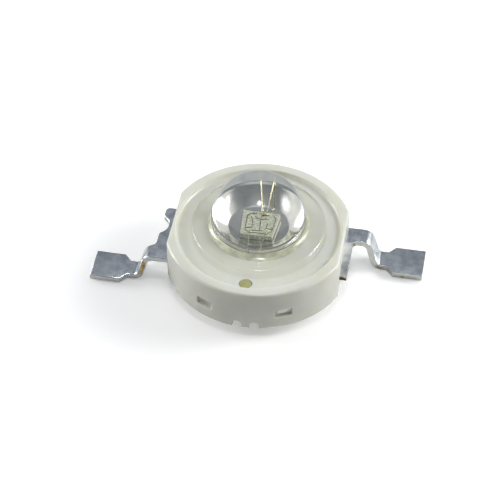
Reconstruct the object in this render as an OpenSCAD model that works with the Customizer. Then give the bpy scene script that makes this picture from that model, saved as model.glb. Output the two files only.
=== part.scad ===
// High-power light-emitting diode of the emitter kind: a moulded round housing with
// two flats, a clear dome lens, a silver-plated copper heat slug with a reflector cup,
// a bare die with four gold bond wires, and two gull-wing leads of tinned copper.
// Sizes are in millimetres. The origin is at the middle of the slug's underside,
// +Z runs up through the dome, and the leads leave along X: the anode at -X, the
// cathode at +X.

/* [Housing] */
// Diameter of the round housing
housing_d = 8; // [7.6:0.1:9]
// Width across the two flats that the leads leave
across_flats = 7.36; // [7.2:0.02:7.5]
// Height of the housing wall
housing_h = 1.99; // [1.9:0.01:2.2]
// Gap from the board to the housing's underside
housing_lift = 0.55; // [0.5:0.01:0.6]
// Width of the flat rim round the top
rim_w = 0.45; // [0.41:0.01:0.6]
// Depth of the coved groove inside the rim
groove_depth = 0.18; // [0.1:0.02:0.24]
// Radius on the rim's outer edge
rim_round = 0.12; // [0.05:0.01:0.2]

/* [Lens] */
// Radius of the dome
dome_r = 2.02; // [1.96:0.02:2.2]
// Height of the dome's centre above the flange
dome_rise = 0.28; // [0.2:0.02:0.4]
// Diameter of the lens flange
flange_d = 5.74; // [5.6:0.02:5.9]
// Height of the flange's top above the rim
flange_rise = 0.27; // [0.15:0.01:0.4]
// Width of the hollow collar between the dome and the flange
collar_w = 0.42; // [0.2:0.02:0.5]
// Radius on the flange's outer edge
flange_round = 0.13; // [0.05:0.01:0.2]
// Depth of the flange's seat below the groove floor
seat_depth = 0.04; // [0.02:0.01:0.1]
// Thickness of the dome's wall over the clear filling
dome_wall = 0.26; // [0.2:0.02:0.3]

/* [Heat slug] */
// Diameter of the slug's base
slug_d = 5.6; // [5:0.1:6]
// Height of the slug's base
slug_base_h = 1; // [0.95:0.01:1.1]
// Diameter of the column that carries the cup
column_d = 2.88; // [2.8:0.02:3]
// Distance of the cup's mouth below the dome's centre
cup_drop = 0.23; // [0.15:0.01:0.3]
// Width of the lip round the cup's mouth
lip_w = 0.12; // [0.08:0.01:0.16]
// Diameter of the cup's floor
cup_floor_d = 1.6; // [1.6:0.02:2]
// Depth of the cup
cup_depth = 0.21; // [0.2:0.01:0.3]

/* [Die] */
// Side of the square die
die_w = 1; // [0.96:0.02:1.08]
// Thickness of the die
die_t = 0.15; // [0.1:0.01:0.18]
// Thickness of the die-attach layer
attach_t = 0.02; // [0.01:0.01:0.04]
// Width of the electrode traces
trace_w = 0.016; // [0.01:0.002:0.024]
// Diameter of the gold bond wires
wire_d = 0.036; // [0.025:0.001:0.04]
// Height of the wire loops above the cup's mouth
loop_rise = 0.08; // [0.06:0.01:0.2]

/* [Leads] */
// Length over the tips of both leads
over_leads = 14.1; // [13.6:0.1:14.8]
// Thickness of the lead metal
lead_t = 0.28; // [0.2:0.02:0.3]
// Height of the leads' underside inside the housing
lead_plane = 1.28; // [1.24:0.01:1.34]
// Gap from the board to the solder tabs
tab_lift = 0.05; // [0.02:0.01:0.1]
// Width of the neck where it leaves the housing
neck_root_w = 0.7; // [0.6:0.02:0.8]
// Width of the neck at its foot
neck_w = 0.83; // [0.7:0.01:0.9]
// Distance of the neck's middle from the centre line
neck_offset = 1.22; // [1.1:0.01:1.3]
// Width of the solder tab
tab_w = 1.5; // [1.3:0.02:1.6]
// Length of the solder tab
tab_l = 1.28; // [1:0.02:1.4]
// Length of the taper between neck and tab
taper_l = 0.3; // [0.2:0.02:0.4]
// Mean radius of the two bends
bend_r = 0.36; // [0.3:0.01:0.42]
// Steepness of the lead between its bends, in degrees
bend_angle = 74; // [70:1:85]

/* [Hidden] */
$fn = 96;

// Overshoot that carries a cut clean through a face
cut = 0.1;

// Heights and radii of the housing and the lens, from the board up
housing_r = housing_d / 2;
flat_x = across_flats / 2;
rim_top = housing_lift + housing_h;
rim_inner_r = housing_r - rim_w;
groove_floor = rim_top - groove_depth;
flange_r = flange_d / 2;
flange_fit = 0.02;
flange_top = rim_top + flange_rise;
seat_z = groove_floor - seat_depth;
dome_base = flange_top + dome_rise;
cavity_r = dome_r - dome_wall;
cavity_straight = 0.3;
land_w = 0.87;
moat_r = flange_r - land_w;

// Heat slug with its locking groove, column and cup
slug_r = slug_d / 2;
slug_chamfer = 0.08;
lock_depth = 0.18;
lock_z = housing_lift + 0.12;
lock_h = 0.16;
column_r = column_d / 2;
column_foot_w = 0.4;
column_foot_h = 0.12;
cup_mouth = dome_base - cup_drop;
cup_mouth_r = column_r - lip_w;
cup_floor = cup_mouth - cup_depth;
cup_floor_r = cup_floor_d / 2;
cup_wall_r = ((cup_mouth_r - cup_floor_r) ^ 2 + cup_depth ^ 2) / (2 * cup_depth);
lip_round = 0.03;

// Lead frame: plates in the housing, arc-shaped bond fingers, necks and tabs
lead_top = lead_plane + lead_t;
root_in = neck_offset - neck_root_w / 2;
root_out = neck_offset + neck_root_w / 2;
neck_in = neck_offset - neck_w / 2;
neck_out = neck_offset + neck_w / 2;
tip_x = over_leads / 2;
tab_x = tip_x - tab_l;
taper_x = tab_x - taper_l;
foot_l = 0.23;
bend_drop = lead_plane - tab_lift;
bend_slope_l = (bend_drop - 2 * bend_r * (1 - cos(bend_angle))) / sin(bend_angle);
bend_run = 2 * bend_r * sin(bend_angle) + bend_slope_l * cos(bend_angle);
bend_x = taper_x - foot_l - bend_run;
plate_x = 1.95;
arm_end = 1.27;
arm_w = 0.3;
corner_r = 0.2;
anchor_r = 0.3;
finger_gap = 0.18;
finger_w = 0.58;
finger_in = column_r + finger_gap;
finger_mid = finger_in + finger_w / 2;
finger_start = -38;
finger_end = 104;

// Shoulder of the anode lead, with its rounded notch
shoulder_w = 0.66;
shoulder_end = 1.46;
notch_r = 0.56;
notch_out = 0.25;
notch_y = 0.4;
lip_r = 0.16;

// Cut ends of the tie bars that held the housing in its lead frame
tie_turn = 25;
tie_angles = [for (side = [-90, 90], turn = [-tie_turn, tie_turn]) side + turn];
tie_w = 0.5;
tie_len = 0.7;
tie_recess = 0.08;
pocket_w = 0.74;
pocket_h = 0.42;
pocket_depth = 0.14;

// Filling holes in the groove, and the runners from them to the cup
fill_r = 0.28;
fill_pcr = flange_r + flange_fit + fill_r;
fill_dip = 0.02;
fill_level = groove_floor - fill_dip;
runner_h = 0.22;

// Pair of arches in the front of the housing's lower edge
arch_r = 0.2;
arch_rise = 0.16;
arch_depth = 0.7;
arch_angles = [-93.5, -82.9];

// Die, its electrodes, and the loops of the wires
die_top = cup_floor + attach_t + die_t;
attach_margin = 0.02;
trace_t = 0.008;
pad_r = 0.052;
cathode_pads = die_w * [[0.053, 0.42], [0.159, 0.42]];
anode_pads = die_w * [[-0.21, -0.385], [0.29, -0.385]];
ball_r = 0.044;
ball_h = 0.03;
stitch_r = 0.045;
stitch_h = 0.016;
wire_r = wire_d / 2;
loop_r = 0.07;
loop_z = cup_mouth + loop_rise;
loop_inset = 0.02;
loop_end = column_r - loop_inset;
landing_inset = 0.18;
landing_r = finger_in + landing_inset;
landing_angles = [99.5, 86.8, -94.8, -80.2];

// Points on an arc about c, from angle a to angle b
function arc(c, r, a, b, steps = 8) =
    [for (i = [0 : steps]) let (t = a + (b - a) * i / steps) c + r * [cos(t), sin(t)]];

// Slope of the straight part of an S-bend with both radii r, over a run and a drop
function s_bend_angle(run, drop, r) =
    atan2(drop - 2 * r, run) + asin(2 * r / norm([run, drop - 2 * r]));

// Round section swept along a path in the XZ plane
module tube(path, r, sides = 10) {
    n = len(path);
    points = [
        for (i = [0 : n - 1]) let (
            along = path[min(i + 1, n - 1)] - path[max(i - 1, 0)],
            across = r * [-along[1], along[0]] / norm(along)
        ) for (k = [0 : sides - 1]) let (a = 360 * k / sides, p = path[i] + cos(a) * across)
            [p[0], r * sin(a), p[1]]
    ];
    walls = [
        for (i = [0 : n - 2], k = [0 : sides - 1]) let (
            a = i * sides + k,
            b = i * sides + (k + 1) % sides
        ) each [[a, b, b + sides], [a, b + sides, a + sides]]
    ];
    ends = [[for (k = [sides - 1 : -1 : 0]) k], [for (k = [0 : sides - 1]) (n - 1) * sides + k]];
    polyhedron(points, concat(walls, ends));
}

// Housing: a rimmed, coved disc with two flats, moulded round the slug and the leads
module rounded_top_profile(half_w) {
    translate([-half_w, housing_lift]) square([2 * half_w, housing_h - rim_round]);
    translate([rim_round - half_w, housing_lift]) square([2 * (half_w - rim_round), housing_h]);
    for (side = [-1, 1])
        translate([side * (half_w - rim_round), rim_top - rim_round]) circle(r = rim_round);
}

module housing_block() {
    intersection() {
        rotate_extrude() intersection() {
            rounded_top_profile(housing_r);
            square([housing_r, rim_top]);
        }
        rotate([90, 0, 0]) linear_extrude(height = housing_d + 2 * cut, center = true)
            rounded_top_profile(flat_x);
    }
}

module lens_recess() {
    translate([0, 0, seat_z]) cylinder(r = flange_r + flange_fit, h = rim_top - seat_z + cut);
    rotate_extrude() {
        translate([flange_r, groove_floor])
            square([rim_inner_r - groove_depth - flange_r, groove_depth + cut]);
        translate([rim_inner_r - groove_depth, rim_top]) circle(r = groove_depth);
    }
}

module moat() {
    translate([0, 0, lead_top]) cylinder(r = moat_r, h = seat_z - lead_top);
}

module fill_ways(top) {
    for (turn = [0, 180]) rotate(turn) {
        translate([0, -fill_pcr, lead_top]) cylinder(r = fill_r, h = top - lead_top);
        translate([-fill_r, -fill_pcr, lead_top]) cube([2 * fill_r, fill_pcr, runner_h]);
    }
}

module tie_pocket() {
    translate([housing_r - pocket_depth, -pocket_w / 2, lead_top - pocket_h])
        cube([pocket_depth + cut, pocket_w, pocket_h]);
}

module arches() {
    for (a = arch_angles) rotate(a)
        translate([housing_r - arch_depth, 0, housing_lift + arch_rise]) rotate([0, 90, 0]) {
            cylinder(r = arch_r, h = arch_depth + cut);
            translate([0, -arch_r, 0]) cube([arch_rise + cut, 2 * arch_r, arch_depth + cut]);
        }
}

module housing() {
    color("#d3d3c6") difference() {
        housing_block();
        lens_recess();
        moat();
        fill_ways(rim_top + cut);
        arches();
        heat_slug_solid();
        bent_lead() cathode_plan();
        rotate(180) bent_lead() anode_plan();
        for (a = tie_angles) rotate(a) {
            tie_bar();
            tie_pocket();
        }
    }
}

// Lens: a hemisphere on a hollow collar and a flat flange, open underneath
module quarter_disc(r) {
    intersection() {
        translate([0, dome_base]) circle(r = r);
        translate([0, dome_base]) square([r, r]);
    }
}

module cavity_profile() {
    quarter_disc(cavity_r);
    polygon([
        [0, seat_z], [moat_r, seat_z], [cavity_r, dome_base - cavity_straight],
        [cavity_r, dome_base], [0, dome_base]
    ]);
}

module lens_profile() {
    quarter_disc(dome_r);
    polygon(concat(
        [[0, dome_base], [0, flange_top]],
        [for (a = [90 : -10 : 0]) [dome_r + collar_w * (1 - cos(a)), dome_base - dome_rise * sin(a)]]
    ));
    translate([0, seat_z]) square([flange_r - flange_round, flange_top - seat_z]);
    translate([0, seat_z]) square([flange_r, flange_top - seat_z - flange_round]);
    translate([flange_r - flange_round, flange_top - flange_round]) circle(r = flange_round);
}

module lens() {
    color([0.92, 0.95, 0.96, 0.35]) rotate_extrude() difference() {
        lens_profile();
        cavity_profile();
    }
}

// Clear filling: all the room under the lens that neither metal nor die takes
module encapsulant() {
    color([0.95, 0.93, 0.78, 0.3]) difference() {
        union() {
            rotate_extrude() cavity_profile();
            moat();
            fill_ways(fill_level);
        }
        heat_slug_solid();
        translate([0, 0, cup_floor - cut]) square_plate(die_w + 2 * attach_margin, cut + attach_t);
        translate([0, 0, cup_floor]) square_plate(die_w, attach_t + die_t + trace_t);
        for (w = wires) wire(w[0], w[1]);
    }
}

// Heat slug: a base with a locking groove, and a column that ends in the reflector cup
module heat_slug_solid() {
    rotate_extrude() difference() {
        union() {
            polygon([
                [0, 0], [slug_r - slug_chamfer, 0], [slug_r, slug_chamfer], [slug_r, lock_z],
                [slug_r - lock_depth, lock_z], [slug_r - lock_depth, lock_z + lock_h],
                [slug_r, lock_z + lock_h], [slug_r, slug_base_h], [0, slug_base_h]
            ]);
            translate([0, slug_base_h]) square([column_r + column_foot_w, column_foot_h]);
            translate([0, slug_base_h]) square([column_r, cup_mouth - slug_base_h - lip_round]);
            translate([0, slug_base_h]) square([column_r - lip_round, cup_mouth - slug_base_h]);
            translate([column_r - lip_round, cup_mouth - lip_round]) circle(r = lip_round, $fn = 32);
        }
        polygon(concat(
            [[0, cup_floor]],
            arc(
                [cup_floor_r, cup_floor + cup_wall_r], cup_wall_r,
                -90, asin((cup_mouth_r - cup_floor_r) / cup_wall_r) - 90
            ),
            [[cup_mouth_r, cup_mouth + cut], [0, cup_mouth + cut]]
        ));
    }
}

module heat_slug() {
    color("#c4c6c8") heat_slug_solid();
}

// Leads: side view of the gull wing, cut to the plan of each lead
module gull_wing_profile() {
    outer = bend_r + lead_t / 2;
    inner = bend_r - lead_t / 2;
    upper = [bend_x, lead_plane + lead_t / 2 - bend_r];
    lower = [bend_x + bend_run, tab_lift + lead_t / 2 + bend_r];
    polygon(concat(
        [[-flat_x, lead_plane], [-flat_x, lead_top]],
        arc(upper, outer, 90, 90 - bend_angle),
        arc(lower, inner, 270 - bend_angle, 270),
        [[tip_x, tab_lift + lead_t], [tip_x, tab_lift]],
        arc(lower, outer, 270, 270 - bend_angle),
        arc(upper, inner, 90 - bend_angle, 90)
    ));
}

module finger_plan() {
    sweep = finger_end - finger_start;
    reach = 2 * (finger_in + finger_w);
    difference() {
        intersection() {
            circle(r = finger_in + finger_w);
            polygon(concat([[0, 0]], arc([0, 0], reach, finger_start, finger_end)));
        }
        circle(r = finger_in);
    }
    translate(finger_mid * [cos(finger_end), sin(finger_end)]) circle(d = finger_w);
}

module inner_plan(end) {
    finger_plan();
    difference() {
        translate([plate_x, -end]) square([flat_x - plate_x, end + root_out]);
        translate([(finger_in + finger_w + flat_x) / 2, 0]) circle(r = anchor_r);
    }
}

module neck_and_tab_plan() {
    polygon([
        [flat_x, root_in], [taper_x, neck_in], [tab_x, neck_offset - tab_w / 2],
        [tip_x, neck_offset - tab_w / 2], [tip_x, neck_offset + tab_w / 2],
        [tab_x, neck_offset + tab_w / 2], [taper_x, neck_out], [flat_x, root_out]
    ]);
}

// Hollow corner between the neck and the edge at x
function hollow_corner(x) = arc([x + corner_r, root_in - corner_r], corner_r, 180, 90);

module cathode_plan() {
    inner_plan(arm_end);
    neck_and_tab_plan();
    polygon(concat(
        [[flat_x, root_in], [flat_x, -arm_end], [flat_x + arm_w, -arm_end]],
        hollow_corner(flat_x + arm_w)
    ));
}

module anode_plan() {
    edge = flat_x + shoulder_w;
    lip_x = edge - lip_r;
    lip_y = sqrt((notch_r + lip_r) ^ 2 - (notch_out + lip_r) ^ 2);
    turn = atan2(lip_y, notch_out + lip_r);
    inner_plan(shoulder_end);
    neck_and_tab_plan();
    polygon(concat(
        [[flat_x, root_in], [flat_x, -shoulder_end]],
        arc([edge - corner_r, corner_r - shoulder_end], corner_r, -90, 0),
        arc([lip_x, -notch_y - lip_y], lip_r, 0, turn),
        arc([edge + notch_out, -notch_y], notch_r, 180 + turn, 180 - turn),
        arc([lip_x, lip_y - notch_y], lip_r, -turn, 0),
        hollow_corner(edge)
    ));
}

module bent_lead() {
    intersection() {
        rotate([90, 0, 0]) linear_extrude(height = housing_d, center = true) gull_wing_profile();
        linear_extrude(height = lead_top + cut) children();
    }
}

module cathode_lead() {
    color("#8e9498") bent_lead() cathode_plan();
}

module anode_lead() {
    color("#8e9498") rotate(180) bent_lead() anode_plan();
}

// Tie bars: four cut ends of the lead frame in pockets in the wall
module tie_bar() {
    translate([housing_r - tie_recess - tie_len, -tie_w / 2, lead_plane]) cube([tie_len, tie_w, lead_t]);
}

module placed_tie_bar(i) {
    color("#9a9a94") rotate(tie_angles[i]) tie_bar();
}

// Die with its attach layer and the two electrodes on top
module square_plate(w, h) {
    translate([-w / 2, -w / 2, 0]) cube([w, w, h]);
}

module die_attach() {
    color("#a8a8a0") translate([0, 0, cup_floor]) square_plate(die_w + 2 * attach_margin, attach_t);
}

module led_die() {
    color("#a9ae9c") translate([0, 0, cup_floor + attach_t]) square_plate(die_w, die_t);
}

module trace(points) {
    for (p = points) translate(p) circle(d = trace_w, $fn = 16);
    for (i = [1 : len(points) - 1]) {
        d = points[i] - points[i - 1];
        translate(points[i - 1]) rotate(atan2(d[1], d[0])) translate([0, -trace_w / 2])
            square([norm(d), trace_w]);
    }
}

module pads(places) {
    for (p = places) translate(p) circle(r = pad_r, $fn = 32);
}

// Spine with two twigs and a foot, in shares of the die's side
module cathode_traces() {
    pads(cathode_pads);
    trace(concat([cathode_pads[0], cathode_pads[1]], die_w * [[0.02, 0.32], [0.03, 0.1], [0.07, -0.27]]));
    trace(die_w * [[-0.15, 0.31], [-0.08, 0.23], [0.025, 0.21], [0.13, 0.25], [0.24, 0.24]]);
    trace(die_w * [[-0.15, -0.3], [0.07, -0.27], [0.16, -0.26]]);
}

// Border that opens at the back, with one hooked twig on each side
module anode_traces() {
    pads(anode_pads);
    trace(concat(
        die_w * [[-0.12, 0.41], [-0.29, 0.4], [-0.37, 0.3], [-0.37, -0.3]],
        anode_pads,
        die_w * [[0.44, -0.27], [0.44, 0.3], [0.35, 0.4]]
    ));
    trace(die_w * [[-0.37, -0.2], [-0.18, -0.16], [-0.2, 0.13], [-0.26, 0.27]]);
    trace(die_w * [[0.44, -0.16], [0.23, -0.13], [0.25, 0.08]]);
}

module electrode_layer() {
    translate([0, 0, die_top]) linear_extrude(height = trace_t) children();
}

module anode_electrode() {
    color("#b9a25c") electrode_layer() anode_traces();
}

module cathode_electrode() {
    color("#b9a25c") electrode_layer() cathode_traces();
}

// Bond wires: a ball on the die, a loop over the cup's lip, a stitch on the lead finger
pads = concat(cathode_pads, anode_pads);
wires = [
    for (i = [0 : len(pads) - 1])
        [pads[i], landing_r * [cos(landing_angles[i]), sin(landing_angles[i])]]
];

function wire_path(reach, shoulder) =
    let (
        ground = lead_top + wire_r,
        landing = reach - stitch_r,
        steep = s_bend_angle(landing - shoulder, loop_z - ground, loop_r)
    ) concat(
        [[0, die_top + trace_t + ball_h / 2]],
        arc([loop_r, loop_z - loop_r], loop_r, 180, 90),
        arc([shoulder, loop_z - loop_r], loop_r, 90, 90 - steep),
        arc([landing, ground + loop_r], loop_r, 270 - steep, 270),
        [[reach, ground]]
    );

module wire(start, end) {
    d = end - start;
    reach = norm(d);
    shoulder = reach * (loop_end - abs(start[1])) / abs(d[1]);
    translate([start[0], start[1], 0]) rotate(atan2(d[1], d[0])) {
        translate([0, 0, die_top + trace_t]) cylinder(r = ball_r, h = ball_h, $fn = 32);
        tube(wire_path(reach, shoulder), wire_r);
        translate([reach, 0, lead_top]) cylinder(r = stitch_r, h = stitch_h, $fn = 32);
    }
}

module bond_wire(i) {
    color("#d9bd63") wire(wires[i][0], wires[i][1]);
}

housing();
lens();
encapsulant();
heat_slug();
anode_lead();
cathode_lead();
placed_tie_bar(0);  // tie_bar_front_left
placed_tie_bar(1);  // tie_bar_front_right
placed_tie_bar(2);  // tie_bar_back_right
placed_tie_bar(3);  // tie_bar_back_left
die_attach();
led_die();
anode_electrode();
cathode_electrode();
bond_wire(0);  // bond_wire_back_left
bond_wire(1);  // bond_wire_back_right
bond_wire(2);  // bond_wire_front_left
bond_wire(3);  // bond_wire_front_right
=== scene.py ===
"""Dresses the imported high-power LED and stands it in a pale studio.

The classes below give the LED's own pieces their finished shapes and surfaces. Their
sizes are in millimetres, as in the part's source, and MM turns them to metres.
"""
import logging
import math
from dataclasses import dataclass, field
from enum import Enum, IntEnum
from typing import Callable, Iterable, Sequence

import bmesh
import bpy
from bmesh.types import BMEdge, BMesh, BMFace, BMVert
from bpy.types import Material, Node, NodeSocket, Object
from mathutils import Matrix, Vector


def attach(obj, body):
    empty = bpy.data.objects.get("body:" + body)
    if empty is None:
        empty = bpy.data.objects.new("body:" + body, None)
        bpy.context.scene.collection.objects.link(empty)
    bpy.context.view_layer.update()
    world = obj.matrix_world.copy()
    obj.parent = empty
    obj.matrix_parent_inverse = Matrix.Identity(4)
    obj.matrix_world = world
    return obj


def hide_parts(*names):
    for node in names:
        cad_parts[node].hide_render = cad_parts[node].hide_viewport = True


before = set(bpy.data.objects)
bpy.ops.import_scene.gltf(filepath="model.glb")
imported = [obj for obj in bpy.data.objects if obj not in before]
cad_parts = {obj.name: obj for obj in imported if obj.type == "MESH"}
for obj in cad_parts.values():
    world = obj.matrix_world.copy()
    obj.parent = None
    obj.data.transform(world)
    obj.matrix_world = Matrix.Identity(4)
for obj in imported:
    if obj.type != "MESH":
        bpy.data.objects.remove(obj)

MM = 0.001
BODY = "root"
PHOTO_WIDTH = 500
# Thickness of the air or silicone left between two pieces, so that no faces coincide
FILM = 0.005
# Distances in metres below which points are one point, or lie on a cutting plane
WELD = 1e-7
ON_PLANE = 1e-8
# Numbers of the Mix node's two colour inputs
MIX_A, MIX_B = 6, 7
log = logging.getLogger("high_power_led")

Point2 = tuple[float, float]
Point3 = tuple[float, float, float]


@dataclass(frozen=True)
class Shared:
    """Heights above the board and radii in millimetres, which several pieces share."""

    housing_low: float = 0.55
    lead_low: float = 1.28
    lead_top: float = 1.56
    rim_top: float = 2.54
    groove: float = 2.36
    seat: float = 2.32
    flange_top: float = 2.81
    cavity_low: float = 2.79
    dome_base: float = 3.09
    cup_floor: float = 2.65
    cup_mouth: float = 2.86
    die_top: float = 2.828
    lead_t: float = 0.28
    column_r: float = 1.44
    cavity_r: float = 1.76
    moat_r: float = 2.0
    slug_r: float = 2.8
    slug_base: float = 1.0
    fill_r: float = 0.28
    fill_pcr: float = 3.17
    flat_x: float = 3.68
    pocket_angles: tuple[float, ...] = (-115.0, -65.0, 65.0, 115.0)


SHARED = Shared()


# ---------------------------------------------------------------- helpers


def linear(hex_colour: str) -> tuple[float, float, float, float]:
    """Turns an sRGB hex colour into the linear colour that a socket takes.

    Args:
        hex_colour: Six hex digits with a leading #.

    Returns:
        Linear red, green, blue and an alpha of 1.
    """
    channels = (int(hex_colour[i:i + 2], 16) / 255 for i in (1, 3, 5))
    red, green, blue = (
        c / 12.92 if c <= 0.04045 else ((c + 0.055) / 1.055) ** 2.4 for c in channels
    )
    return red, green, blue, 1.0


def arc(centre: Point2, radius: float, start: float, end: float, steps: int) -> list[Point2]:
    """Gives points on an arc.

    Args:
        centre: The arc's centre.
        radius: The arc's radius.
        start: First angle in degrees.
        end: Last angle in degrees.
        steps: Number of chords.

    Returns:
        The steps + 1 points, from start to end.
    """
    angles = (math.radians(start + (end - start) * i / steps) for i in range(steps + 1))
    return [(centre[0] + radius * math.cos(a), centre[1] + radius * math.sin(a)) for a in angles]


def at(x: float, y: float, z: float) -> Matrix:
    """Gives the matrix that moves a shape to a place in millimetres."""
    return Matrix.Translation(Vector((x, y, z)) * MM)


def turned(angle: float, axis: str = "Z") -> Matrix:
    """Gives the matrix that turns a shape about an axis by an angle in degrees."""
    return Matrix.Rotation(math.radians(angle), 4, axis)


def move(bm: BMesh, matrix: Matrix) -> BMesh:
    """Moves a whole mesh by a matrix and gives it back."""
    bmesh.ops.transform(bm, matrix=matrix, verts=bm.verts)
    return bm


def revolve(profile: Sequence[Point2], segments: int, closed: bool) -> BMesh:
    """Spins a profile of radius and height round the Z axis.

    Args:
        profile: Points of the profile in millimetres.
        segments: Steps in the full turn.
        closed: True for a ring whose last point joins the first.

    Returns:
        A mesh whose faces point outwards.
    """
    bm = bmesh.new()
    verts = [bm.verts.new((r * MM, 0.0, z * MM)) for r, z in profile]
    pairs = list(zip(verts, verts[1:] + verts[:1]))
    edges = [bm.edges.new(pair) for pair in (pairs if closed else pairs[:-1])]
    bmesh.ops.spin(
        bm, geom=verts + edges, axis=(0, 0, 1), cent=(0, 0, 0), angle=math.tau,
        steps=segments, use_merge=True,
    )
    bmesh.ops.remove_doubles(bm, verts=bm.verts, dist=WELD)
    bmesh.ops.recalc_face_normals(bm, faces=bm.faces)
    return bm


def extrude_outline(outline: Sequence[Point2], low: float, high: float) -> BMesh:
    """Raises a flat outline into a plate.

    Args:
        outline: Corner points in millimetres, in order.
        low: Height of the underside in millimetres.
        high: Height of the top in millimetres.

    Returns:
        A closed mesh whose faces point outwards.
    """
    bm = bmesh.new()
    face = bm.faces.new([bm.verts.new((x * MM, y * MM, low * MM)) for x, y in outline])
    raised = bmesh.ops.extrude_face_region(bm, geom=[face])["geom"]
    top = [v for v in raised if isinstance(v, BMVert)]
    bmesh.ops.translate(bm, vec=(0, 0, (high - low) * MM), verts=top)
    bmesh.ops.recalc_face_normals(bm, faces=bm.faces)
    return bm


def round_edges(
    bm: BMesh, width: float, segments: int, chosen: Callable[[BMEdge], bool] = lambda e: True
) -> None:
    """Rounds the sharp edges of a mesh.

    Args:
        bm: The mesh.
        width: Width of the round in millimetres.
        segments: Faces across the round.
        chosen: Says whether a sharp edge is rounded.
    """
    least = math.radians(50)
    sharp = [e for e in bm.edges if e.is_manifold and e.calc_face_angle(0) > least and chosen(e)]
    bmesh.ops.bevel(
        bm, geom=sharp, offset=width * MM, offset_type="OFFSET", segments=segments,
        profile=0.5, affect="EDGES", clamp_overlap=True, material=-1,
    )


def slice_mesh(bm: BMesh, place: Point3, normal: Point3, drop_behind: bool = False) -> None:
    """Cuts a mesh's faces along a plane.

    Args:
        bm: The mesh.
        place: A point of the plane in millimetres.
        normal: The plane's normal.
        drop_behind: True to delete what lies behind the plane.
    """
    bmesh.ops.bisect_plane(
        bm, geom=[*bm.verts, *bm.edges, *bm.faces], dist=ON_PLANE,
        plane_co=[c * MM for c in place], plane_no=normal, clear_inner=drop_behind,
    )


def paint(bm: BMesh, slot_of: Callable[[BMFace, Vector], int]) -> None:
    """Gives each face of a mesh its material slot.

    Args:
        bm: The mesh.
        slot_of: Gives the slot for a face and its middle in millimetres.
    """
    for face in bm.faces:
        face.material_index = slot_of(face, face.calc_center_median() / MM)


def box_mesh(size: Point3, centre: Point3, turn: float = 0.0) -> BMesh:
    """Makes a box that is turned about the Z axis after it is placed.

    Args:
        size: Lengths along X, Y and Z in millimetres.
        centre: Its middle in millimetres, before the turn.
        turn: Angle about Z in degrees.

    Returns:
        The box.
    """
    bm = bmesh.new()
    sides = Matrix.Diagonal((*(s * MM for s in size), 1.0))
    bmesh.ops.create_cube(bm, size=1.0, matrix=turned(turn) @ at(*centre) @ sides)
    return bm


def rod_mesh(radius: float, low: float, high: float, y: float) -> BMesh:
    """Makes an upright solid cylinder in the plane of x = 0.

    Args:
        radius: Its radius in millimetres.
        low: Height of its underside in millimetres.
        high: Height of its top in millimetres.
        y: Its axis's place in millimetres.

    Returns:
        The cylinder.
    """
    bm = bmesh.new()
    bmesh.ops.create_cone(
        bm, cap_ends=True, segments=48, radius1=radius * MM, radius2=radius * MM,
        depth=(high - low) * MM, matrix=at(0, y, (low + high) / 2),
    )
    return bm


def tube_mesh(path: Sequence[Vector], radius: float, sides: int) -> BMesh:
    """Draws a round section along a path by extruding it step by step.

    Args:
        path: Points in millimetres.
        radius: Radius of the section in millimetres.
        sides: Sides of the section.

    Returns:
        A closed tube with capped ends.
    """
    bm = bmesh.new()
    plane = (path[-1] - path[0]).cross(Vector((0, 0, 1))).normalized()

    def section(i: int) -> Matrix:
        """Gives the frame of the section at point i of the path.

        Args:
            i: The point's number.

        Returns:
            The matrix that stands a section there.
        """
        along = (path[min(i + 1, len(path) - 1)] - path[max(i - 1, 0)]).normalized()
        axes = Matrix((plane, along.cross(plane), along)).transposed().to_4x4()
        return at(*path[i]) @ axes

    ring = bmesh.ops.create_circle(bm, segments=sides, radius=radius * MM, matrix=section(0))
    edges = list({e for v in ring["verts"] for e in v.link_edges})
    bmesh.ops.contextual_create(bm, geom=edges)
    for i in range(1, len(path)):
        step = bmesh.ops.extrude_edge_only(bm, edges=edges)["geom"]
        verts = [g for g in step if isinstance(g, BMVert)]
        edges = [g for g in step if isinstance(g, BMEdge)]
        bmesh.ops.transform(bm, matrix=section(i) @ section(i - 1).inverted(), verts=verts)
    bmesh.ops.contextual_create(bm, geom=edges)
    bmesh.ops.recalc_face_normals(bm, faces=bm.faces)
    return bm


def join(parts: Iterable[BMesh]) -> BMesh:
    """Gathers several meshes into one and frees them.

    Args:
        parts: The meshes.

    Returns:
        One mesh that holds them all.
    """
    whole = bmesh.new()
    for part in parts:
        held = bpy.data.meshes.new("held")
        part.to_mesh(held)
        part.free()
        whole.from_mesh(held)
        bpy.data.meshes.remove(held)
    return whole


class Cut(Enum):
    """What a boolean step does with the tool's shape."""

    REMOVE = "DIFFERENCE"
    KEEP = "INTERSECT"


def boolean(obj: Object, tool: BMesh, cut: Cut) -> None:
    """Cuts an object with a mesh, and leaves the result in the object's own mesh.

    Args:
        obj: The object that is cut.
        tool: The cutting shape, which is freed.
        cut: Whether its shape is removed or kept.
    """
    cutter = new_object("cutter", tool)
    step = obj.modifiers.new("cut", "BOOLEAN")
    step.operation = cut.value
    step.solver = "EXACT"
    step.object = cutter
    bpy.context.view_layer.update()
    evaluated = obj.evaluated_get(bpy.context.evaluated_depsgraph_get())
    result = bpy.data.meshes.new_from_object(evaluated)
    obj.modifiers.clear()
    old = obj.data
    obj.data = result
    result.name = obj.name
    bpy.data.meshes.remove(old)
    bpy.data.objects.remove(cutter)


def new_object(name: str, bm: BMesh) -> Object:
    """Turns a mesh into a linked object at the origin.

    Args:
        name: The object's name.
        bm: Its mesh, which is freed.

    Returns:
        The object.
    """
    mesh = bpy.data.meshes.new(name)
    bm.to_mesh(mesh)
    bm.free()
    obj = bpy.data.objects.new(name, mesh)
    bpy.context.scene.collection.objects.link(obj)
    return obj


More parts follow.
